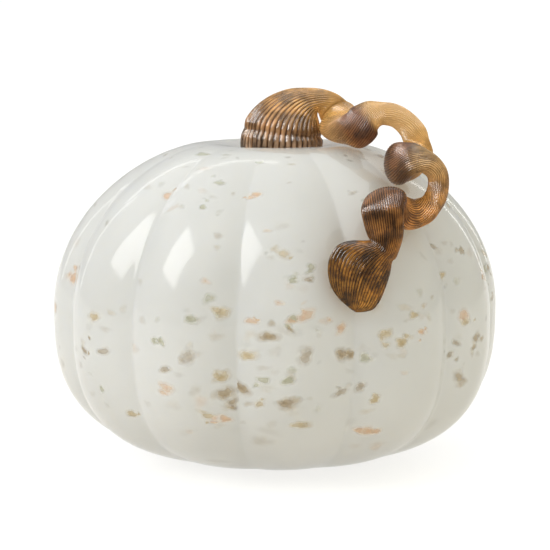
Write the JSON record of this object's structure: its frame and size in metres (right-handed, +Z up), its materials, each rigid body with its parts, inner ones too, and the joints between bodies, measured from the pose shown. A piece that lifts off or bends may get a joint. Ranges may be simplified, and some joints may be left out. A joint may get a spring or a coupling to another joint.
{
  "type": "glass pumpkin figure",
  "caption": "Lobed, flattened pumpkin of blown white glass with coloured chips under a clear skin and a ribbed amber stem that curls down one shoulder.",
  "frame": {"origin": "middle of the flat base, on the surface that the pumpkin stands on", "axes": "+Z up along the body's axis; -Y towards the viewer, the side that the stem's curl hangs down; +X to the viewer's right"},
  "size_m": [0.2, 0.2, 0.165],
  "materials": {
    "casing_glass": "clear polished blown glass",
    "opal_glass": "opaque white glass, smooth",
    "tan_frit": "melted opaque tan glass chips",
    "brown_frit": "melted opaque brown glass chips",
    "peach_frit": "melted opaque peach glass chips",
    "taupe_frit": "melted opaque taupe glass chips",
    "sage_frit": "melted opaque grey-green glass chips",
    "stem_glass": "transparent amber-brown glass with fine ribs"
  },
  "bodies": {
    "root": {"clear_casing": "casing_glass", "opal_shell": "opal_glass", "tan_chips": "tan_frit", "brown_chips": "brown_frit", "peach_chips": "peach_frit", "taupe_chips": "taupe_frit", "sage_chips": "sage_frit", "stem_foot": "stem_glass", "stem_curl": "stem_glass", "stem_tip": "stem_glass"}
  },
  "joints": []
}
